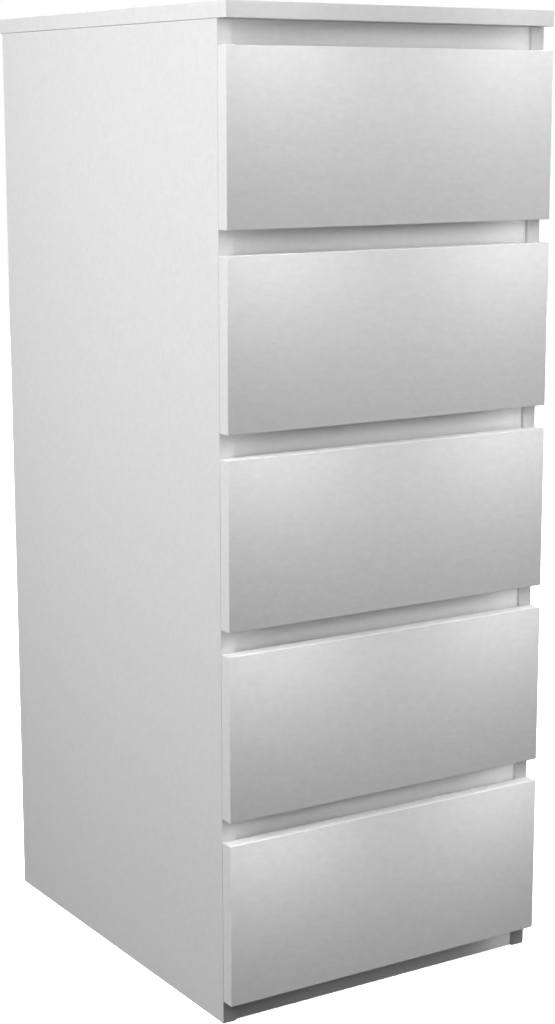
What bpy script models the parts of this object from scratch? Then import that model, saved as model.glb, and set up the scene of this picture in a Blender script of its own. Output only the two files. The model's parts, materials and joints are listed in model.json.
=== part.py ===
"""Tall narrow chest of five drawers in white board, built like the flat-pack original.

Metres, +Z up. The origin is on the floor under the middle of the chest's outline. The
drawer fronts face -Y, and +X is to the right of a person who faces them.
"""

import math

import bmesh
import bpy

# Driving dimensions of the whole chest
WIDTH = 0.400
DEPTH = 0.510
DRAWER_COUNT = 5
FRONT_HEIGHT = 0.175
FINGER_GAP = 0.025
BOARD = 0.016
FIBREBOARD = 0.003
FIT = 0.0003

# Carcass
TOP_REAR_OVERHANG = 0.010
BUMPER_GAP = 0.0005
RAIL_SETBACK = 0.003
RAIL_OVERLAP = 0.008
BACK_PANEL_INSET = 0.0015

# Drawer boxes
BOX_BOARD = 0.012
BOX_LENGTH = 0.450
BOX_HEIGHT = 0.120
BOX_RISE = 0.028
GROOVE_HEIGHT = 0.010
GROOVE_DEPTH = 0.006

# Roller slides: one member on the carcass and one under the drawer, at each side
SLIDE_SPACE = 0.0125
SLIDE_STEEL = 0.001
SLIDE_DROP = 0.004
DRAWER_WEB_HEIGHT = 0.012
CARCASS_WEB_TOP = 0.0144
CARCASS_SLIDE_LENGTH = 0.450
RUNNER_WIDTH = 0.0096
UPPER_LIP = 0.0074
DRAWER_LEDGE = 0.0116
ROLLER_WIDTH = 0.0076
ROLLER_SIDES = 24
ROLLER_PIN_RADIUS = 0.0025
ROLLER_END_DISTANCE = 0.014

# Places that follow from them
HEIGHT = DRAWER_COUNT * (FRONT_HEIGHT + FINGER_GAP) + FINGER_GAP + BOARD
HALF_WIDTH = WIDTH / 2
INNER_HALF_WIDTH = HALF_WIDTH - BOARD
FRONT_FACE_Y = -DEPTH / 2
TOP_BACK_Y = DEPTH / 2
FRONT_BACK_Y = FRONT_FACE_Y + BOARD
CARCASS_FRONT_Y = FRONT_BACK_Y + BUMPER_GAP
CARCASS_BACK_Y = TOP_BACK_Y - TOP_REAR_OVERHANG
RAIL_FRONT_Y = CARCASS_FRONT_Y + RAIL_SETBACK
UNDER_TOP_Z = HEIGHT - BOARD
BOX_HALF_WIDTH = INNER_HALF_WIDTH - SLIDE_SPACE
BOX_FRONT_Y = FRONT_BACK_Y + FIT
BOX_BACK_Y = BOX_FRONT_Y + BOX_LENGTH
CARCASS_SLIDE_FRONT_Y = CARCASS_FRONT_Y + RAIL_SETBACK


def clear_scene():
    for existing in list(bpy.data.objects):
        bpy.data.objects.remove(existing, do_unlink=True)


def make_material(name, colour, roughness, metallic=0.0):
    material = bpy.data.materials.new(name)
    material.use_nodes = True
    shader = material.node_tree.nodes["Principled BSDF"]
    shader.inputs["Base Color"].default_value = (*colour, 1.0)
    shader.inputs["Roughness"].default_value = roughness
    shader.inputs["Metallic"].default_value = metallic
    return material


def add_empty(name, location):
    """An empty that carries the pieces of one body, on the axis of its joint."""
    empty = bpy.data.objects.new(name, None)
    empty.location = location
    bpy.context.scene.collection.objects.link(empty)
    return empty


def add_mesh_object(name, shape, location, material, parent=None):
    """Turn a bmesh into an object at a place in the world, carried by its parent empty."""
    bmesh.ops.recalc_face_normals(shape, faces=shape.faces)
    mesh = bpy.data.meshes.new(name)
    shape.to_mesh(mesh)
    shape.free()
    mesh.materials.append(material)
    piece = bpy.data.objects.new(name, mesh)
    piece.location = location
    if parent:
        piece.parent = parent
        piece.location = [place - origin for place, origin in zip(location, parent.location)]
    bpy.context.scene.collection.objects.link(piece)
    return piece


def extrude_outline(name, outline, y_start, y_end, material, parent=None):
    """A solid with a constant X-Z section, extruded along Y.

    The object's origin is at the middle of the section's box, on its front end.
    """
    xs = [x for x, z in outline]
    zs = [z for x, z in outline]
    origin = ((min(xs) + max(xs)) / 2, y_start, (min(zs) + max(zs)) / 2)
    shape = bmesh.new()
    corners = [shape.verts.new((x - origin[0], 0, z - origin[2])) for x, z in outline]
    section = shape.faces.new(corners)
    swept = bmesh.ops.extrude_face_region(shape, geom=[section])
    moved = [item for item in swept["geom"] if isinstance(item, bmesh.types.BMVert)]
    bmesh.ops.translate(shape, verts=moved, vec=(0, y_end - y_start, 0))
    return add_mesh_object(name, shape, origin, material, parent)


def add_board(name, x_range, y_range, z_range, material, parent=None):
    (x0, x1), (z0, z1) = x_range, z_range
    outline = [(x0, z0), (x1, z0), (x1, z1), (x0, z1)]
    return extrude_outline(name, outline, *y_range, material, parent)


def across(x_half):
    """The X range of a board that spans the chest symmetrically."""
    return (-x_half, x_half)


def front_bottom_z(number):
    """Height of the lower edge of a drawer front; drawer 1 is the top one."""
    rows_below = DRAWER_COUNT - number
    return FINGER_GAP + rows_below * (FRONT_HEIGHT + FINGER_GAP)


def slide_z(number):
    """Height of the lower edge of a drawer's box, where the slides carry it."""
    return front_bottom_z(number) + BOX_RISE


def mirrored(outline, side):
    """An outline drawn for the right side (+1), turned over for the left side (-1)."""
    return [(side * x, z) for x, z in outline]


def roller(name, side, x_centre, y, z, radius, pin_end_x, material, parent):
    """A roller with the rivet that holds it, to be joined to the member it turns on."""
    shape = bmesh.new()
    for x0, x1, turned_radius in (
        (x_centre - ROLLER_WIDTH / 2, x_centre + ROLLER_WIDTH / 2, radius),
        (min(x_centre, pin_end_x), max(x_centre, pin_end_x), ROLLER_PIN_RADIUS),
    ):
        rings = []
        for x in (x0, x1):
            ring = []
            for step in range(ROLLER_SIDES):
                angle = math.tau * step / ROLLER_SIDES
                across_y = turned_radius * math.cos(angle)
                up_z = turned_radius * math.sin(angle)
                ring.append(shape.verts.new((side * x, across_y, up_z)))
            rings.append(ring)
        for step in range(ROLLER_SIDES):
            following = (step + 1) % ROLLER_SIDES
            shape.faces.new((rings[0][step], rings[0][following],
                             rings[1][following], rings[1][step]))
        shape.faces.new(rings[0])
        shape.faces.new(rings[1])
    helper = add_mesh_object(name, shape, (0, y, z), material, parent)
    helper.hide_render = True
    helper.display_type = "WIRE"
    return helper


def join(piece, helper):
    union = piece.modifiers.new("roller", "BOOLEAN")
    union.operation = "UNION"
    union.solver = "EXACT"
    union.use_self = True
    union.object = helper


def carcass_slide(number, side, materials):
    """Channel on the carcass side, with a roller at its front that carries the drawer."""
    datum = slide_z(number)
    web_outer = INNER_HALF_WIDTH - FIT
    web_inner = web_outer - SLIDE_STEEL
    runner_end = web_outer - RUNNER_WIDTH
    lip_end = web_outer - UPPER_LIP
    runner_top = datum - SLIDE_DROP
    outline = [
        (web_outer, runner_top - SLIDE_STEEL),
        (web_outer, datum + CARCASS_WEB_TOP),
        (lip_end, datum + CARCASS_WEB_TOP),
        (lip_end, datum + CARCASS_WEB_TOP - SLIDE_STEEL),
        (web_inner, datum + CARCASS_WEB_TOP - SLIDE_STEEL),
        (web_inner, runner_top),
        (runner_end, runner_top),
        (runner_end, runner_top - SLIDE_STEEL),
    ]
    side_name = "right" if side > 0 else "left"
    name = f"carcass_slide_{number}_{side_name}"
    back_y = CARCASS_SLIDE_FRONT_Y + CARCASS_SLIDE_LENGTH
    channel = extrude_outline(name, mirrored(outline, side), CARCASS_SLIDE_FRONT_Y,
                              back_y, materials["steel"])
    carried_height = DRAWER_WEB_HEIGHT - FIT
    radius = (carried_height + SLIDE_DROP) / 2 - FIT
    roller_x = web_inner - FIT - ROLLER_WIDTH / 2
    roller_z = datum + carried_height - radius
    helper = roller(name + "_roller", side, roller_x,
                    CARCASS_SLIDE_FRONT_Y + ROLLER_END_DISTANCE, roller_z, radius,
                    web_outer - SLIDE_STEEL / 2, materials["steel"], None)
    join(channel, helper)


def drawer_slide(number, side, materials, parent):
    """Stepped rail under the drawer's side, with a roller at its rear end."""
    datum = slide_z(number)
    web_inner = BOX_HALF_WIDTH + FIT
    web_outer = web_inner + SLIDE_STEEL
    flange_end = INNER_HALF_WIDTH - 2 * FIT - SLIDE_STEEL - FIT
    ledge_end = BOX_HALF_WIDTH - DRAWER_LEDGE
    ledge_bottom = datum - FIT - SLIDE_STEEL
    flange_top = datum + DRAWER_WEB_HEIGHT + SLIDE_STEEL
    outline = [
        (ledge_end, ledge_bottom),
        (web_outer, ledge_bottom),
        (web_outer, datum + DRAWER_WEB_HEIGHT),
        (flange_end, datum + DRAWER_WEB_HEIGHT),
        (flange_end, flange_top),
        (web_inner, flange_top),
        (web_inner, ledge_bottom + SLIDE_STEEL),
        (ledge_end, ledge_bottom + SLIDE_STEEL),
    ]
    side_name = "right" if side > 0 else "left"
    name = f"drawer_{number}_slide_{side_name}"
    rail = extrude_outline(name, mirrored(outline, side), BOX_FRONT_Y, BOX_BACK_Y,
                           materials["steel"], parent)
    carried_height = DRAWER_WEB_HEIGHT - FIT
    radius = (carried_height + SLIDE_DROP) / 2 - FIT
    roller_x = web_outer + FIT + ROLLER_WIDTH / 2
    roller_z = datum - SLIDE_DROP + FIT + radius
    helper = roller(name + "_roller", side, roller_x, BOX_BACK_Y - ROLLER_END_DISTANCE,
                    roller_z, radius, web_inner + SLIDE_STEEL / 2, materials["steel"], parent)
    join(rail, helper)


def build_carcass(materials):
    board = materials["board"]
    floor_to_top = (0, UNDER_TOP_Z - FIT)
    whole_depth = (CARCASS_FRONT_Y, CARCASS_BACK_Y)
    between_sides = across(INNER_HALF_WIDTH - FIT)
    add_board("left_side", (-HALF_WIDTH, -INNER_HALF_WIDTH), whole_depth, floor_to_top, board)
    add_board("right_side", (INNER_HALF_WIDTH, HALF_WIDTH), whole_depth, floor_to_top, board)
    add_board("top_panel", across(HALF_WIDTH), (FRONT_FACE_Y, TOP_BACK_Y),
              (UNDER_TOP_Z, HEIGHT), board)
    add_board("plinth_board", between_sides, (RAIL_FRONT_Y, RAIL_FRONT_Y + BOARD),
              (0, FINGER_GAP - FIT), board)
    add_board("bottom_panel", between_sides, (RAIL_FRONT_Y, CARCASS_BACK_Y),
              (FINGER_GAP, FINGER_GAP + BOARD), board)
    add_board("back_panel", across(HALF_WIDTH - BACK_PANEL_INSET),
              (CARCASS_BACK_Y + FIT, CARCASS_BACK_Y + FIT + FIBREBOARD),
              (BACK_PANEL_INSET, UNDER_TOP_Z - FIT), materials["fibreboard"])

    rail_depth = (RAIL_FRONT_Y, RAIL_FRONT_Y + BOARD)
    top_rail_bottom = front_bottom_z(1) + FRONT_HEIGHT - RAIL_OVERLAP
    add_board("top_rail", between_sides, rail_depth, (top_rail_bottom, UNDER_TOP_Z - FIT), board)
    for number in range(1, DRAWER_COUNT):
        upper_edge = front_bottom_z(number) + RAIL_OVERLAP
        lower_edge = front_bottom_z(number) - FINGER_GAP - RAIL_OVERLAP
        add_board(f"cross_rail_{number}", between_sides, rail_depth,
                  (lower_edge, upper_edge), board)

    for number in range(1, DRAWER_COUNT + 1):
        for side in (-1, 1):
            carcass_slide(number, side, materials)


def drawer_box_side(number, side, materials, parent):
    """Side board of a drawer's box, with the groove that holds its bottom."""
    outer = BOX_HALF_WIDTH
    inner = BOX_HALF_WIDTH - BOX_BOARD
    groove_end = inner + GROOVE_DEPTH
    low = slide_z(number)
    high = low + BOX_HEIGHT
    groove_low = low + GROOVE_HEIGHT
    groove_high = groove_low + FIBREBOARD + 2 * FIT
    outline = [
        (outer, low),
        (outer, high),
        (inner, high),
        (inner, groove_high),
        (groove_end, groove_high),
        (groove_end, groove_low),
        (inner, groove_low),
        (inner, low),
    ]
    side_name = "right" if side > 0 else "left"
    extrude_outline(f"drawer_{number}_side_{side_name}", mirrored(outline, side),
                    BOX_FRONT_Y, BOX_BACK_Y, materials["board"], parent)


def build_drawer(number, materials):
    """One drawer; it slides out along -Y on the axis that its empty stands on."""
    bottom_z = front_bottom_z(number)
    parent = add_empty(f"drawer_{number}_axis", (0, FRONT_FACE_Y, bottom_z + FRONT_HEIGHT / 2))
    add_board(f"drawer_{number}_front", across(HALF_WIDTH), (FRONT_FACE_Y, FRONT_BACK_Y),
              (bottom_z, bottom_z + FRONT_HEIGHT), materials["board"], parent)
    for side in (-1, 1):
        drawer_box_side(number, side, materials, parent)
        drawer_slide(number, side, materials, parent)

    inner_half = BOX_HALF_WIDTH - BOX_BOARD
    panel_low = slide_z(number) + GROOVE_HEIGHT + FIT
    panel_high = panel_low + FIBREBOARD
    add_board(f"drawer_{number}_bottom", across(inner_half + GROOVE_DEPTH - FIT),
              (BOX_FRONT_Y, BOX_BACK_Y), (panel_low, panel_high),
              materials["fibreboard"], parent)
    add_board(f"drawer_{number}_back", across(inner_half - FIT),
              (BOX_BACK_Y - BOX_BOARD, BOX_BACK_Y),
              (panel_high + FIT, slide_z(number) + BOX_HEIGHT), materials["board"], parent)


def main():
    clear_scene()
    materials = {
        "board": make_material("white_board", (0.84, 0.84, 0.84), 0.42),
        "fibreboard": make_material("white_fibreboard", (0.80, 0.80, 0.79), 0.5),
        "steel": make_material("white_coated_steel", (0.82, 0.82, 0.81), 0.35),
    }
    build_carcass(materials)
    for number in range(1, DRAWER_COUNT + 1):
        build_drawer(number, materials)


main()
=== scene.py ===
"""Looks of the tall five-drawer chest: camera, studio, materials and small hardware."""

import json
import math

import bmesh
import bpy
from mathutils import Matrix, Vector

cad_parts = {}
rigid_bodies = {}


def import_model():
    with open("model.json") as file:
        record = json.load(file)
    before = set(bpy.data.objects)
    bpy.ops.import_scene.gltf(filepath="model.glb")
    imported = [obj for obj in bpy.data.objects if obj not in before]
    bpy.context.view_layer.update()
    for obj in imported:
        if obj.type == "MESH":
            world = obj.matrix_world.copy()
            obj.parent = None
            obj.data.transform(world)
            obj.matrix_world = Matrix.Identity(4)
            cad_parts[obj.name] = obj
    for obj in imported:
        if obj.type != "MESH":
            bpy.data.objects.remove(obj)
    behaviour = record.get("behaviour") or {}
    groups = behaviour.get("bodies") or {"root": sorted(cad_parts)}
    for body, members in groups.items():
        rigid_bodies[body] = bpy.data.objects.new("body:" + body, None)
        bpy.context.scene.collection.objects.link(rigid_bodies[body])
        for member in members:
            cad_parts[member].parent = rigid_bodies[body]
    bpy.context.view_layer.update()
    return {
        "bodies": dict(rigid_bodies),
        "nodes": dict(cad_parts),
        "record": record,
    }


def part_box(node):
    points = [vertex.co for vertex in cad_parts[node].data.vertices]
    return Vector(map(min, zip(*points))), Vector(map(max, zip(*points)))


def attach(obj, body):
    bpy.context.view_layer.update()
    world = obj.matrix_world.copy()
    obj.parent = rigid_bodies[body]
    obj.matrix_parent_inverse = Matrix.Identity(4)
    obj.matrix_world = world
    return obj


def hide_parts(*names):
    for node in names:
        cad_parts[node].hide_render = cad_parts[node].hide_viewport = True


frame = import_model()
MM = 0.001
WHITE = (1, 1, 1, 1)

DRAWERS = range(1, 6)
SIDES = {"left": -1, "right": 1}

# Camera
CAMERA_PLACE = (-1.2202, -1.9696, 0.9386)
CAMERA_YAW = math.radians(32.487)
CAMERA_PITCH = math.radians(11.209)
CAMERA_LENS = 72.238
CAMERA_SENSOR = 36.0
CAMERA_SHIFT = (-0.0117, 0.0055)

# Small lights that each light only one or a few boards: sizes in metres, strengths in watts
FRONT_STRIP_FROM_MIDDLE = 0.16
FRONT_STRIP_BEFORE = 0.12
FRONT_STRIP_ABOVE = 0.09
FRONT_STRIP_SIZE = (0.20, 0.02)
FRONT_STRIP_WATTS = 0.35
GAP_STRIP_X = 0.06
GAP_STRIP_BEFORE = 0.15
GAP_STRIP_ABOVE = 0.10
GAP_STRIP_SIZE = (0.36, 0.08)
GAP_STRIP_WATTS = 0.13
TOP_END_STRIP_FROM_MIDDLE = 0.17
TOP_END_STRIP_BEFORE = 0.12
TOP_END_STRIP_ABOVE = 0.02
TOP_END_STRIP_SIZE = (0.12, 0.02)
TOP_END_STRIP_WATTS = 0.04
TOP_STRIP_BEFORE = 0.16
TOP_STRIP_AIM_ABOVE = 0.05
TOP_STRIP_SIZE = (0.50, 0.02)
TOP_STRIP_WATTS = 0.12
PLINTH_STRIP_X = 0.03
PLINTH_STRIP_BEFORE = 0.12
PLINTH_STRIP_SIZE = (0.34, 0.02)
PLINTH_STRIP_WATTS = 0.013
END_LAMP_X = 0.175
SIDE_LAMP_X = -0.192
END_LAMP_BEFORE = 0.045
END_LAMP_SIZE = (0.03, 0.01)
GAP_MIDDLE = 0.012
GAP_END_WATTS = 0.005
GAP_SIDE_WATTS = 0.004
PLINTH_END_WATTS = 0.006

# Floor and surround
FLOOR_HALF = 6.0
FLOOR_SUN_ANGLE = math.radians(10)
HORIZON_BLUR = 0.15
SURROUND_BELOW = 0.02
SURROUND_ABOVE = 0.10
SURROUND_IN_REFLECTIONS = 0.4
BACKDROP_STRENGTH = 1.0

# Noise values between which the materials' changes run from one end to the other
NOISE_LOW = 0.3
NOISE_HIGH = 0.7

# Board and sheet edges
ARRIS_RADIUS = 0.6 * MM
ARRIS_STEPS = 3
SLIDE_EDGE_RADIUS = 0.2 * MM
SLIDE_EDGE_STEPS = 2
WELD_DISTANCE = 0.01 * MM
SHARP_ANGLE = math.radians(35)
BEVEL_ANGLE = math.radians(50)

# Roller slides, pressed from sheet steel
STEEL_GAUGE = 1.0 * MM
BEND_RADIUS = 1.3 * MM
BEND_STEPS = 5
SLIDE_FIT = 0.3 * MM
ROLLER_RADIUS = 7.55 * MM
ROLLER_WIDTH = 7.6 * MM
ROLLER_END_DISTANCE = 14.0 * MM
ROLLER_EDGE_RADIUS = 0.8 * MM
ROLLER_HUB_RADIUS = 3.6 * MM
ROLLER_DISH_DEPTH = 0.7 * MM
ROLLER_RIM_WIDTH = 1.6 * MM
ROLLER_RIM_SLOPE = 0.3 * MM
RIVET_HEAD_RADIUS = 2.9 * MM
RIVET_PIN_RADIUS = 2.2 * MM
RIVET_HEAD_SKIRT = 0.2 * MM
RIVET_HEAD_RISES = ((1, 0.15 * MM), (0.85, 0.45 * MM), (0.5, 0.6 * MM))
RIVET_HEAD_BELOW_ROLLER_FACE = 0.65 * MM
RIVET_SHORTER_THAN_ROLLER = 0.4 * MM
CARCASS_LIP_WIDTH = 7.4 * MM
DRAWER_LEDGE_WIDTH = 12.9 * MM
DRAWER_WEB_HEIGHT = 12.0 * MM
CARCASS_ROLLER_TOP = 16.7 * MM
CARCASS_SCREWS_AT = (0.040, 0.200, 0.420)
DRAWER_SCREWS_AT = (0.030, 0.230, 0.425)

# Heads with a cross recess: radius, height, rim chamfer, recess length and width
CARCASS_SCREW = (3.4 * MM, 1.5 * MM, 0.7 * MM, 3.6 * MM, 0.9 * MM)
DRAWER_SCREW = (2.9 * MM, 1.2 * MM, 0.6 * MM, 3.0 * MM, 0.8 * MM)
BACK_SCREW = (3.4 * MM, 0.6 * MM, 0.3 * MM, 3.6 * MM, 0.9 * MM)
CAM = (7.5 * MM, 0.7 * MM, 0.4 * MM, 8.5 * MM, 2.0 * MM)
RECESS_FLOOR_SHARE = 0.35

# Other small fittings; heights are shares of a drawer side's height
CAM_FROM_FRONT = 34.0 * MM
CAM_HEIGHTS = (0.3, 0.8)
BACK_SCREW_HEIGHTS = (0.35, 0.8)
BUMPER_RADIUS = 4.0 * MM
BUMPER_HEIGHT = 0.4 * MM
BUMPER_FROM_EDGE = 14 * MM
NAIL_RADIUS = 1.7 * MM
NAIL_HEIGHT = 0.9 * MM
NAIL_SPACING = 0.125
NAIL_FROM_TOP = 20 * MM
ROUND_STEPS = 32


# ---------------------------------------------------------------- camera and studio

def make_camera():
    """Three-quarter view from the front left, a little above the chest's middle."""
    camera = bpy.data.cameras.new("camera")
    camera.lens = CAMERA_LENS
    camera.sensor_width = CAMERA_SENSOR
    camera.shift_x, camera.shift_y = CAMERA_SHIFT
    view = bpy.data.objects.new("camera", camera)
    view.location = CAMERA_PLACE
    view.rotation_euler = (math.pi / 2 - CAMERA_PITCH, 0, -CAMERA_YAW)
    bpy.context.scene.collection.objects.link(view)
    bpy.context.scene.camera = view


def link_light(lamp, location, aim, receivers):
    """Put a lamp in the studio; with receivers it lights only those objects."""
    light = bpy.data.objects.new(lamp.name, lamp)
    light.location = location
    direction = Vector(aim) - Vector(location)
    light.rotation_euler = direction.to_track_quat("-Z", "Y").to_euler()
    light.visible_camera = False
    bpy.context.scene.collection.objects.link(light)
    if receivers:
        lit = bpy.data.collections.new(lamp.name + "_lit")
        for receiver in receivers:
            lit.objects.link(receiver)
        light.light_linking.receiver_collection = lit
    return light


def soft_box(name, location, aim, size, watts, receivers=()):
    """A rectangular soft light of size (width, height)."""
    lamp = bpy.data.lights.new(name, "AREA")
    lamp.shape = "RECTANGLE"
    lamp.size, lamp.size_y = size
    lamp.energy = watts
    return link_light(lamp, location, aim, receivers)


def board_light(name, location, aim, size, watts, boards):
    """A soft light for a few boards only, which nothing shades and no reflection shows."""
    light = soft_box(name, location, aim, size, watts, boards)
    light.data.use_shadow = False
    light.visible_glossy = False
    return light


def make_soft_boxes():
    """Large soft lights round the chest, strongest from the left and above."""
    soft_box("left_fill", (-1.7, -0.15, 1.1), (0, 0, 0.6), (0.9, 0.9), 19)
    soft_box("left_key", (-1.3, -0.8, 1.9), (0, -0.1, 0.8), (0.8, 0.8), 10)
    soft_box("front_fill", (0.1, -1.8, 1.5), (0, 0, 1.0), (1.0, 0.8), 1.2)
    soft_box("right_strip", (0.7, -0.8, 1.0), (0.15, -0.25, 0.8), (0.25, 1.3), 2.0)
    soft_box("overhead", (0, -0.3, 2.4), (0, 0, 1), (1.0, 1.0), 8)
    soft_box("right_fill", (1.7, 0.3, 1.1), (0, 0, 0.6), (0.9, 0.9), 16)
    soft_box("back_fill", (0.2, 2.0, 1.2), (0, 0, 0.6), (1.0, 1.2), 18)


def end_lamp(name, boards, x, z, watts):
    """A small lamp close before one end of boards that are set back behind the fronts."""
    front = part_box(boards[0].name)[0].y
    board_light(name, (x, front - END_LAMP_BEFORE, z), (x, front, z), END_LAMP_SIZE, watts,
                boards)


def light_drawer_front(number):
    """Two downward strips that ride with the drawer and make its front's top edge brightest."""
    front = frame["nodes"][f"drawer_{number}_front"]
    carrier = frame["bodies"][f"drawer_{number}"]
    low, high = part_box(front.name)
    y = low.y - FRONT_STRIP_BEFORE
    for side_name, side in SIDES.items():
        x = side * FRONT_STRIP_FROM_MIDDLE
        strip = board_light(f"drawer_{number}_strip_{side_name}",
                            (x, y, high.z + FRONT_STRIP_ABOVE), (x, y, 0),
                            FRONT_STRIP_SIZE, FRONT_STRIP_WATTS, [front])
        strip.parent = carrier
        strip.matrix_parent_inverse = carrier.matrix_world.inverted()


def light_finger_gap(number):
    """A strip and two end lamps for the rail and the side panels in the gap over a drawer."""
    rail = frame["nodes"]["top_rail" if number == 1 else f"cross_rail_{number - 1}"]
    side_panels = [frame["nodes"]["left_side"], frame["nodes"]["right_side"]]
    low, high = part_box(f"drawer_{number}_front")
    soft_box(f"gap_{number}_strip",
             (GAP_STRIP_X, low.y - GAP_STRIP_BEFORE, high.z + GAP_STRIP_ABOVE),
             (GAP_STRIP_X, low.y, high.z), GAP_STRIP_SIZE, GAP_STRIP_WATTS,
             [rail, *side_panels])
    middle = high.z + GAP_MIDDLE
    end_lamp(f"gap_{number}_end", [rail], END_LAMP_X, middle, GAP_END_WATTS)
    end_lamp(f"gap_{number}_side", [rail, side_panels[0]], SIDE_LAMP_X, middle, GAP_SIDE_WATTS)


def light_top_edge():
    """Strips for the top panel's front edge, which is brightest at its ends."""
    top = frame["nodes"]["top_panel"]
    low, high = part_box(top.name)
    for side_name, side in SIDES.items():
        x = side * TOP_END_STRIP_FROM_MIDDLE
        board_light(f"top_edge_strip_{side_name}",
                    (x, low.y - TOP_END_STRIP_BEFORE, high.z + TOP_END_STRIP_ABOVE),
                    (x, low.y, high.z), TOP_END_STRIP_SIZE, TOP_END_STRIP_WATTS, [top])
    board_light("top_edge_strip", (0, low.y - TOP_STRIP_BEFORE, high.z),
                (0, low.y, high.z + TOP_STRIP_AIM_ABOVE), TOP_STRIP_SIZE, TOP_STRIP_WATTS,
                [top])


def light_plinth():
    """A weak strip and an end lamp for the plinth, deep under the lowest front."""
    plinth = frame["nodes"]["plinth_board"]
    low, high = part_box(plinth.name)
    middle = high.z / 2
    board_light("plinth_strip", (PLINTH_STRIP_X, low.y - PLINTH_STRIP_BEFORE, middle),
                (PLINTH_STRIP_X, low.y, middle), PLINTH_STRIP_SIZE, PLINTH_STRIP_WATTS,
                [plinth])
    end_lamp("plinth_end", [plinth], END_LAMP_X, middle, PLINTH_END_WATTS)


def make_world():
    """A weak surround, brighter above the horizon and in reflections, and a white backdrop."""
    world = bpy.data.worlds.new("studio")
    world.use_nodes = True
    nodes, links = world.node_tree.nodes, world.node_tree.links
    output = nodes["World Output"]
    surround = nodes["Background"]
    direction = nodes.new("ShaderNodeTexCoord")
    height = nodes.new("ShaderNodeSeparateXYZ")
    links.new(direction.outputs["Generated"], height.inputs["Vector"])
    grade = nodes.new("ShaderNodeMapRange")
    grade.inputs["From Min"].default_value = -HORIZON_BLUR
    grade.inputs["From Max"].default_value = HORIZON_BLUR
    grade.inputs["To Min"].default_value = SURROUND_BELOW
    grade.inputs["To Max"].default_value = SURROUND_ABOVE
    links.new(height.outputs["Z"], grade.inputs["Value"])
    links.new(grade.outputs["Result"], surround.inputs["Strength"])
    surround.inputs["Color"].default_value = WHITE

    ray = nodes.new("ShaderNodeLightPath")
    shown = surround.outputs["Background"]
    for kind, strength in (("Is Glossy Ray", SURROUND_IN_REFLECTIONS),
                           ("Is Camera Ray", BACKDROP_STRENGTH)):
        backdrop = nodes.new("ShaderNodeBackground")
        backdrop.inputs["Color"].default_value = WHITE
        backdrop.inputs["Strength"].default_value = strength
        choose = nodes.new("ShaderNodeMixShader")
        links.new(ray.outputs[kind], choose.inputs["Fac"])
        links.new(shown, choose.inputs[1])
        links.new(backdrop.outputs["Background"], choose.inputs[2])
        shown = choose.outputs["Shader"]
    links.new(shown, output.inputs["Surface"])
    bpy.context.scene.world = world


def make_floor():
    """A plain pale floor that two lights of its own wash to white, the main one from the front."""
    half = FLOOR_HALF
    mesh = bpy.data.meshes.new("floor")
    corners = [(-half, -half, 0), (half, -half, 0), (half, half, 0), (-half, half, 0)]
    mesh.from_pydata(corners, [], [(0, 1, 2, 3)])
    mesh.materials.append(principled("floor_white", (0.9, 0.9, 0.9), 1.0, 0.0)[0])
    floor = bpy.data.objects.new("floor", mesh)
    floor.visible_diffuse = False
    floor.visible_glossy = False
    bpy.context.scene.collection.objects.link(floor)

    for name, place, strength in (("floor_wash_front", (-1.6, -2.5, 3.0), 7.0),
                                  ("floor_wash_back", (1.6, 2.5, 3.0), 3.2)):
        wash = bpy.data.lights.new(name, "SUN")
        wash.energy = strength
        wash.angle = FLOOR_SUN_ANGLE
        link_light(wash, place, (0, 0, 0), [floor])


# ---------------------------------------------------------------- materials

def principled(name, colour, roughness, specular=0.5, metallic=0.0):
    """A new Principled material; returns it with its nodes, links and shader."""
    made = bpy.data.materials.new(name)
    made.use_nodes = True
    nodes, links = made.node_tree.nodes, made.node_tree.links
    shader = nodes["Principled BSDF"]
    shader.inputs["Base Color"].default_value = (*colour, 1)
    shader.inputs["Roughness"].default_value = roughness
    shader.inputs["Specular IOR Level"].default_value = specular
    shader.inputs["Metallic"].default_value = metallic
    return made, nodes, links, shader


def add_noise(nodes, links, scale, detail, stretch=(1, 1, 1)):
    """Noise fixed to the object, with scale in features per metre."""
    place = nodes.new("ShaderNodeTexCoord")
    mapping = nodes.new("ShaderNodeMapping")
    mapping.inputs["Scale"].default_value = stretch
    noise = nodes.new("ShaderNodeTexNoise")
    noise.inputs["Scale"].default_value = scale
    noise.inputs["Detail"].default_value = detail
    links.new(place.outputs["Object"], mapping.inputs["Vector"])
    links.new(mapping.outputs["Vector"], noise.inputs["Vector"])
    return noise


def vary_roughness(nodes, links, shader, noise, low, high):
    """Let noise move the roughness between two values."""
    spread = nodes.new("ShaderNodeMapRange")
    spread.inputs["From Min"].default_value = NOISE_LOW
    spread.inputs["From Max"].default_value = NOISE_HIGH
    spread.inputs["To Min"].default_value = low
    spread.inputs["To Max"].default_value = high
    links.new(noise.outputs["Fac"], spread.inputs["Value"])
    links.new(spread.outputs["Result"], shader.inputs["Roughness"])


def vary_colour(nodes, links, shader, noise, dark, light):
    """Let noise move the base colour between two colours."""
    blend = nodes.new("ShaderNodeValToRGB")
    ends = blend.color_ramp.elements
    ends[0].position = NOISE_LOW
    ends[1].position = NOISE_HIGH
    ends[0].color = (*dark, 1)
    ends[1].color = (*light, 1)
    links.new(noise.outputs["Fac"], blend.inputs["Fac"])
    links.new(blend.outputs["Color"], shader.inputs["Base Color"])


def add_relief(nodes, links, shader, noise, depth, strength):
    """Raise and sink the surface with noise, by a depth in metres."""
    bump = nodes.new("ShaderNodeBump")
    bump.inputs["Distance"].default_value = depth
    bump.inputs["Strength"].default_value = strength
    links.new(noise.outputs["Fac"], bump.inputs["Height"])
    links.new(bump.outputs["Normal"], shader.inputs["Normal"])


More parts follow.
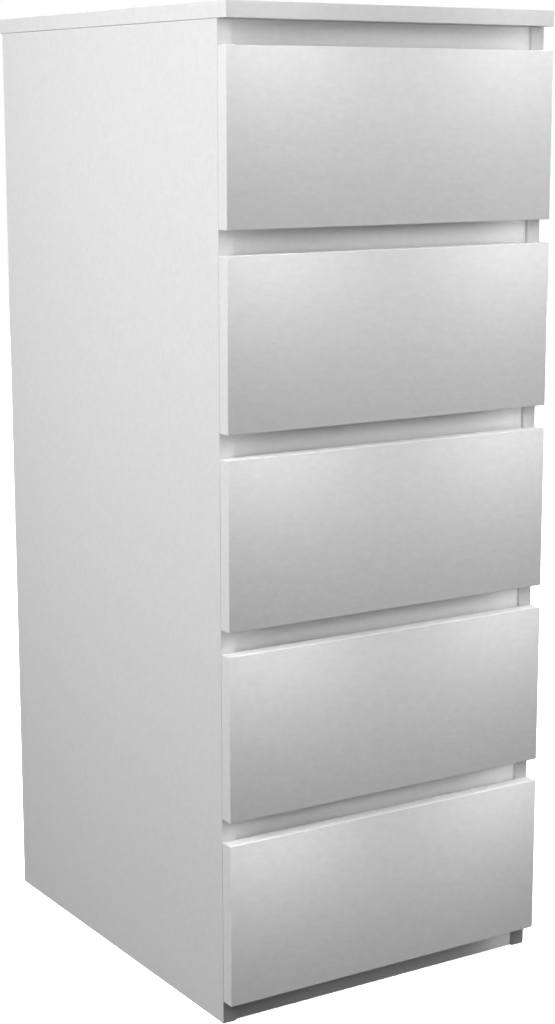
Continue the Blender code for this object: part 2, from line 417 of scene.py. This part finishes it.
def melamine():
    """White melamine foil: fine pores that run across the fronts, and a slightly uneven sheen."""
    made, nodes, links, shader = principled("melamine", (0.8, 0.8, 0.8), 0.46, 0.4)
    mottle = add_noise(nodes, links, 170, 5, (0.6, 1, 1))
    vary_colour(nodes, links, shader, mottle, (0.78, 0.78, 0.78), (0.82, 0.82, 0.82))
    vary_roughness(nodes, links, shader, add_noise(nodes, links, 45, 3), 0.42, 0.52)
    pores = add_noise(nodes, links, 260, 4, (0.5, 1, 1))
    add_relief(nodes, links, shader, pores, 0.35 * MM, 0.5)
    return made


def edge_band():
    """Plastic band on the board's edges, smoother than the foil, with faint milling marks."""
    made, nodes, links, shader = principled("edge_band", (0.81, 0.81, 0.81), 0.32, 0.5)
    marks = add_noise(nodes, links, 160, 1)
    vary_colour(nodes, links, shader, marks, (0.80, 0.80, 0.80), (0.82, 0.82, 0.82))
    vary_roughness(nodes, links, shader, marks, 0.28, 0.38)
    add_relief(nodes, links, shader, marks, 0.03 * MM, 0.2)
    return made


def fibreboard():
    """Thin hardboard with a printed white face that shows its pressed fibres a little."""
    made, nodes, links, shader = principled("fibreboard", (0.77, 0.77, 0.76), 0.55, 0.35)
    fibres = add_noise(nodes, links, 260, 5, (1, 0.45, 1))
    vary_colour(nodes, links, shader, fibres, (0.74, 0.74, 0.73), (0.79, 0.79, 0.785))
    vary_roughness(nodes, links, shader, add_noise(nodes, links, 30, 3), 0.5, 0.62)
    add_relief(nodes, links, shader, fibres, 0.08 * MM, 0.4)
    return made


def coated_steel():
    """Epoxy-coated steel with the soft orange peel of the coating."""
    made, nodes, links, shader = principled("coated_steel", (0.8, 0.8, 0.795), 0.34, 0.5)
    peel = add_noise(nodes, links, 320, 2)
    vary_colour(nodes, links, shader, peel, (0.785, 0.785, 0.78), (0.815, 0.815, 0.81))
    vary_roughness(nodes, links, shader, add_noise(nodes, links, 60, 2), 0.28, 0.4)
    add_relief(nodes, links, shader, peel, 0.08 * MM, 0.4)
    shader.inputs["Coat Weight"].default_value = 0.25
    shader.inputs["Coat Roughness"].default_value = 0.2
    return made


def nylon():
    """Milky moulded nylon of the rollers."""
    made, nodes, links, shader = principled("nylon", (0.74, 0.73, 0.70), 0.38, 0.5)
    flow = add_noise(nodes, links, 240, 3)
    vary_colour(nodes, links, shader, flow, (0.70, 0.69, 0.66), (0.77, 0.76, 0.73))
    vary_roughness(nodes, links, shader, flow, 0.32, 0.46)
    add_relief(nodes, links, shader, flow, 0.03 * MM, 0.3)
    return made


def zinc():
    """Zinc-plated steel of screws, rivets, cams and nails."""
    made, nodes, links, shader = principled("zinc", (0.62, 0.62, 0.61), 0.35, 0.5, 1.0)
    plating = add_noise(nodes, links, 420, 4)
    vary_colour(nodes, links, shader, plating, (0.52, 0.52, 0.51), (0.68, 0.68, 0.67))
    vary_roughness(nodes, links, shader, plating, 0.26, 0.46)
    add_relief(nodes, links, shader, plating, 0.03 * MM, 0.4)
    return made


def silicone():
    """Clear silicone of the bumper dots, grey where the board shows through."""
    made, nodes, links, shader = principled("silicone", (0.66, 0.66, 0.66), 0.22, 0.5)
    haze = add_noise(nodes, links, 300, 2)
    vary_colour(nodes, links, shader, haze, (0.62, 0.62, 0.62), (0.70, 0.70, 0.70))
    vary_roughness(nodes, links, shader, haze, 0.16, 0.28)
    shader.inputs["Coat Weight"].default_value = 0.5
    shader.inputs["Coat Roughness"].default_value = 0.08
    return made


def dress_cad_nodes(board, band, panel, steel):
    """Materials and softened edges for the CAD's own solids."""
    slots = {row["node"]: row["material_slot"] for row in frame["record"]["subparts"]}
    looks = {"white_board": board, "white_fibreboard": panel, "coated_steel": steel}
    for name, node in frame["nodes"].items():
        slot = slots[name]
        node.data.materials.clear()
        node.data.materials.append(looks[slot])
        weld = node.modifiers.new("weld", "WELD")
        weld.merge_threshold = WELD_DISTANCE
        arris = node.modifiers.new("arris", "BEVEL")
        arris.limit_method = "ANGLE"
        arris.segments = ARRIS_STEPS
        if slot == "white_board":
            node.data.materials.append(band)
            arris.width = ARRIS_RADIUS
            arris.material = 1
        else:
            arris.width = SLIDE_EDGE_RADIUS


# ---------------------------------------------------------------- mesh helpers

def finish_piece(name, shape, look, body, bevel=0.0):
    """Turn a bmesh into a smooth-shaded piece that rides on its body."""
    bmesh.ops.recalc_face_normals(shape, faces=shape.faces)
    for face in shape.faces:
        face.smooth = True
    for edge in shape.edges:
        if len(edge.link_faces) == 2 and edge.calc_face_angle() > SHARP_ANGLE:
            edge.smooth = False
    mesh = bpy.data.meshes.new(name)
    shape.to_mesh(mesh)
    shape.free()
    mesh.materials.append(look)
    piece = bpy.data.objects.new(name, mesh)
    bpy.context.scene.collection.objects.link(piece)
    if bevel:
        edges = piece.modifiers.new("edges", "BEVEL")
        edges.width = bevel
        edges.segments = SLIDE_EDGE_STEPS
        edges.limit_method = "ANGLE"
        edges.angle_limit = BEVEL_ANGLE
    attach(piece, body)
    return piece


def bent_strip(path, thickness, radius):
    """Outline of a sheet bent along a path of X-Z points, with round bends."""
    centre = []
    for index, point in enumerate(path):
        here = Vector(point)
        if index in (0, len(path) - 1):
            centre.append(here)
            continue
        before = (Vector(path[index - 1]) - here).normalized()
        after = (Vector(path[index + 1]) - here).normalized()
        for step in range(BEND_STEPS + 1):
            share = step / BEND_STEPS
            start = here + before * radius
            end = here + after * radius
            centre.append((1 - share) ** 2 * start + 2 * share * (1 - share) * here
                          + share ** 2 * end)
    near, far = [], []
    for index, point in enumerate(centre):
        ahead = centre[min(index + 1, len(centre) - 1)]
        behind = centre[max(index - 1, 0)]
        along = (ahead - behind).normalized()
        across = Vector((-along.y, along.x)) * thickness / 2
        near.append(point + across)
        far.append(point - across)
    return near + far[::-1]


def join_rings(shape, first, second):
    """Faces between two rings with the same number of vertices."""
    for index in range(len(first)):
        following = (index + 1) % len(first)
        shape.faces.new((first[index], first[following], second[following], second[index]))


def ring_edges(shape, ring):
    """The edges of a bmesh that join a closed ring of vertices."""
    return [shape.edges.get((vertex, ring[(index + 1) % len(ring)]))
            for index, vertex in enumerate(ring)]


def extruded(shape, outline, y_start, y_end):
    """Add a prism along Y to a bmesh from its X-Z outline."""
    front = [shape.verts.new((x, y_start, z)) for x, z in outline]
    back = [shape.verts.new((x, y_end, z)) for x, z in outline]
    shape.faces.new(front)
    shape.faces.new(back)
    join_rings(shape, front, back)


def unit_circle():
    """Points round a circle of radius 1."""
    angles = [math.tau * step / ROUND_STEPS for step in range(ROUND_STEPS)]
    return [(math.cos(angle), math.sin(angle)) for angle in angles]


def cross_outline(length, width):
    """Points round a cross with four equal arms, counter-clockwise."""
    arm, half = length / 2, width / 2
    outline = []
    for quarter in range(4):
        turn = Matrix.Rotation(quarter * math.pi / 2, 2)
        outline += [turn @ Vector(corner) for corner in ((arm, -half), (arm, half), (half, half))]
    return outline


def add_ring(shape, outline, scale, height, place):
    """Vertices of an outline that is scaled, raised by a height and then put in its place."""
    return [shape.verts.new(place @ Vector((x * scale, y * scale, height)))
            for x, y in outline]


def place_on(centre, axis):
    """The transform that puts a shape's base at a centre, with its Z along an axis."""
    to_axis = Vector(axis).to_track_quat("Z", "Y").to_matrix().to_4x4()
    return Matrix.Translation(Vector(centre)) @ to_axis


def turned(shape, profile, centre, axis):
    """Add a turned solid to a bmesh: (radius, height) points, from its base up an axis."""
    place = place_on(centre, axis)
    rings = [add_ring(shape, unit_circle(), radius, height, place) for radius, height in profile]
    shape.faces.new(rings[0])
    shape.faces.new(rings[-1])
    for lower, upper in zip(rings, rings[1:]):
        join_rings(shape, lower, upper)


def crossed_head(shape, head, centre, axis):
    """Add a low round head with a chamfered rim and a cross recess."""
    radius, height, rim, cross_length, cross_width = head
    place = place_on(centre, axis)
    circle = unit_circle()
    cross = cross_outline(cross_length, cross_width)
    base = add_ring(shape, circle, radius, 0, place)
    shoulder = add_ring(shape, circle, radius, height - rim, place)
    crest = add_ring(shape, circle, radius - rim, height, place)
    recess_top = add_ring(shape, cross, 1, height, place)
    recess_bottom = add_ring(shape, cross, 1, RECESS_FLOOR_SHARE * height, place)
    shape.faces.new(base)
    join_rings(shape, base, shoulder)
    join_rings(shape, shoulder, crest)
    join_rings(shape, recess_top, recess_bottom)
    shape.faces.new(recess_bottom)
    rim_edges = ring_edges(shape, crest) + ring_edges(shape, recess_top)
    bmesh.ops.triangle_fill(shape, use_beauty=True, edges=rim_edges)


# ---------------------------------------------------------------- slides

def mirrored(points, side):
    """X-Z points on the chest's left or right."""
    return [(side * x, z) for x, z in points]


def roller_profile():
    """Nylon wheel with a rounded tread and a dished web, from its far face to its near one."""
    edge = ROLLER_EDGE_RADIUS
    corner = 0.3 * edge
    wall = ROLLER_RADIUS - ROLLER_RIM_WIDTH
    rim = wall + ROLLER_RIM_SLOPE
    half = [(ROLLER_HUB_RADIUS, ROLLER_DISH_DEPTH), (wall, ROLLER_DISH_DEPTH), (rim, 0),
            (ROLLER_RADIUS - edge, 0), (ROLLER_RADIUS - corner, corner), (ROLLER_RADIUS, edge)]
    return half + [(radius, ROLLER_WIDTH - depth) for radius, depth in reversed(half)]


def rivet_profile(length):
    """Pin with a low domed head that sits on the roller's dished face."""
    skirt = -RIVET_HEAD_SKIRT
    pin = [(RIVET_PIN_RADIUS, -length), (RIVET_PIN_RADIUS, skirt), (RIVET_HEAD_RADIUS, skirt)]
    return pin + [(RIVET_HEAD_RADIUS * share, rise) for share, rise in RIVET_HEAD_RISES]


def add_roller(name, side, x_far, y, z, body):
    """A nylon roller whose far face is at x_far on its member's web, with its rivet."""
    wheel = bmesh.new()
    turned(wheel, roller_profile(), (x_far, y, z), (side, 0, 0))
    finish_piece(name + "_roller", wheel, NYLON, body)
    rivet = bmesh.new()
    end_face = x_far + side * (ROLLER_WIDTH - RIVET_HEAD_BELOW_ROLLER_FACE)
    turned(rivet, rivet_profile(ROLLER_WIDTH - RIVET_SHORTER_THAN_ROLLER),
           (end_face, y, z), (side, 0, 0))
    finish_piece(name + "_rivet", rivet, ZINC, body)


def add_carcass_slide(number, side_name, side):
    """Channel screwed to the carcass side, with the roller at its front."""
    node = f"carcass_slide_{number}_{side_name}"
    low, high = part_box(node)
    outer = max(abs(low.x), abs(high.x))
    inner = min(abs(low.x), abs(high.x))
    half = STEEL_GAUGE / 2
    path = [(inner, low.z + half), (outer - half, low.z + half),
            (outer - half, high.z - half), (outer - CARCASS_LIP_WIDTH, high.z - half)]
    channel = bmesh.new()
    extruded(channel, mirrored(bent_strip(path, STEEL_GAUGE, BEND_RADIUS), side), low.y, high.y)
    member = finish_piece(node + "_channel", channel, STEEL, "carcass",
                          SLIDE_EDGE_RADIUS)
    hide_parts(node)

    web_face = outer - STEEL_GAUGE
    roller_z = low.z + CARCASS_ROLLER_TOP - ROLLER_RADIUS
    add_roller(node, -side, side * (web_face - SLIDE_FIT), low.y + ROLLER_END_DISTANCE,
               roller_z, "carcass")
    screws = bmesh.new()
    for distance in CARCASS_SCREWS_AT:
        crossed_head(screws, CARCASS_SCREW,
                     (side * web_face, low.y + distance, (low.z + high.z) / 2), (-side, 0, 0))
    finish_piece(node + "_screws", screws, ZINC, "carcass")


def add_drawer_slide(number, side_name, side):
    """Stepped rail under the drawer's side, with the roller at its rear."""
    node = f"drawer_{number}_slide_{side_name}"
    body = f"drawer_{number}"
    low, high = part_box(node)
    outer = max(abs(low.x), abs(high.x))
    inner = min(abs(low.x), abs(high.x))
    half = STEEL_GAUGE / 2
    web = inner + DRAWER_LEDGE_WIDTH - half
    ledge_z = high.z - STEEL_GAUGE - DRAWER_WEB_HEIGHT - SLIDE_FIT - half
    path = [(inner, ledge_z), (web, ledge_z), (web, high.z - half), (outer, high.z - half)]
    rail = bmesh.new()
    extruded(rail, mirrored(bent_strip(path, STEEL_GAUGE, BEND_RADIUS), side), low.y, high.y)
    member = finish_piece(node + "_rail", rail, STEEL, body, SLIDE_EDGE_RADIUS)
    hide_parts(node)

    web_face = web + half
    add_roller(node, side, side * (web_face + SLIDE_FIT), high.y - ROLLER_END_DISTANCE,
               low.z + ROLLER_RADIUS, body)
    screws = bmesh.new()
    for distance in DRAWER_SCREWS_AT:
        crossed_head(screws, DRAWER_SCREW,
                     (side * web_face, low.y + distance, high.z - DRAWER_WEB_HEIGHT / 2),
                     (side, 0, 0))
    finish_piece(node + "_screws", screws, ZINC, body)


# ---------------------------------------------------------------- drawer and carcass fittings

def add_cams(number):
    """Cam fittings that hold the front, in the inner faces of the drawer's sides."""
    cams = bmesh.new()
    for side_name, side in SIDES.items():
        low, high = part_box(f"drawer_{number}_side_{side_name}")
        inner_face = min(abs(low.x), abs(high.x))
        for share in CAM_HEIGHTS:
            z = low.z + share * (high.z - low.z)
            crossed_head(cams, CAM, (side * inner_face, low.y + CAM_FROM_FRONT, z),
                         (-side, 0, 0))
    finish_piece(f"drawer_{number}_cams", cams, ZINC, f"drawer_{number}")


def add_back_screws(number):
    """Heads of the screws through the drawer's sides into its back."""
    heads = bmesh.new()
    back_low, back_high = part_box(f"drawer_{number}_back")
    y = (back_low.y + back_high.y) / 2
    for side_name, side in SIDES.items():
        low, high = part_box(f"drawer_{number}_side_{side_name}")
        outer_face = max(abs(low.x), abs(high.x))
        for share in BACK_SCREW_HEIGHTS:
            z = low.z + share * (high.z - low.z)
            crossed_head(heads, BACK_SCREW, (side * outer_face, y, z), (side, 0, 0))
    finish_piece(f"drawer_{number}_back_screws", heads, ZINC, f"drawer_{number}")


def add_bumpers(number):
    """Silicone dots behind the front's corners, where it meets the carcass sides."""
    dots = bmesh.new()
    low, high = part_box(f"drawer_{number}_front")
    side_low, side_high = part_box("right_side")
    x = (side_low.x + side_high.x) / 2
    shares = ((1, 0), (1, 0.3), (0.9, 0.65), (0.7, 0.87), (0.35, 1))
    dome = [(wide * BUMPER_RADIUS, tall * BUMPER_HEIGHT) for wide, tall in shares]
    for side in SIDES.values():
        for z in (low.z + BUMPER_FROM_EDGE, high.z - BUMPER_FROM_EDGE):
            turned(dots, dome, (side * x, high.y, z), (0, 1, 0))
    finish_piece(f"drawer_{number}_bumpers", dots, SILICONE, f"drawer_{number}")


def add_nails():
    """Nails that hold the back panel to the carcass sides and the bottom panel."""
    nails = bmesh.new()
    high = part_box("back_panel")[1]
    side_low, side_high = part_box("right_side")
    bottom_low, bottom_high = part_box("bottom_panel")
    side_x = (side_low.x + side_high.x) / 2
    bottom_z = (bottom_low.z + bottom_high.z) / 2
    spots = []
    rows = round((high.z - bottom_z) / NAIL_SPACING)
    for row in range(rows + 1):
        z = bottom_z + row * (high.z - NAIL_FROM_TOP - bottom_z) / rows
        spots += [(-side_x, z), (side_x, z)]
    columns = round(2 * side_x / NAIL_SPACING)
    spots += [(-side_x + column * 2 * side_x / columns, bottom_z) for column in range(1, columns)]
    shares = ((1, 0), (1, 0.4), (0.75, 0.8), (0.3, 1))
    head = [(wide * NAIL_RADIUS, tall * NAIL_HEIGHT) for wide, tall in shares]
    for x, z in spots:
        turned(nails, head, (x, high.y, z), (0, 1, 0))
    finish_piece("back_panel_nails", nails, ZINC, "carcass")


STEEL = coated_steel()
NYLON = nylon()
ZINC = zinc()
SILICONE = silicone()

make_camera()
bpy.context.scene.view_settings.view_transform = "Standard"
make_world()
make_floor()
make_soft_boxes()
for drawer_number in DRAWERS:
    light_drawer_front(drawer_number)
    light_finger_gap(drawer_number)
light_top_edge()
light_plinth()
dress_cad_nodes(melamine(), edge_band(), fibreboard(), STEEL)

for drawer_number in DRAWERS:
    for name_of_side, sign in SIDES.items():
        add_carcass_slide(drawer_number, name_of_side, sign)
        add_drawer_slide(drawer_number, name_of_side, sign)
    add_cams(drawer_number)
    add_back_screws(drawer_number)
    add_bumpers(drawer_number)
add_nails()
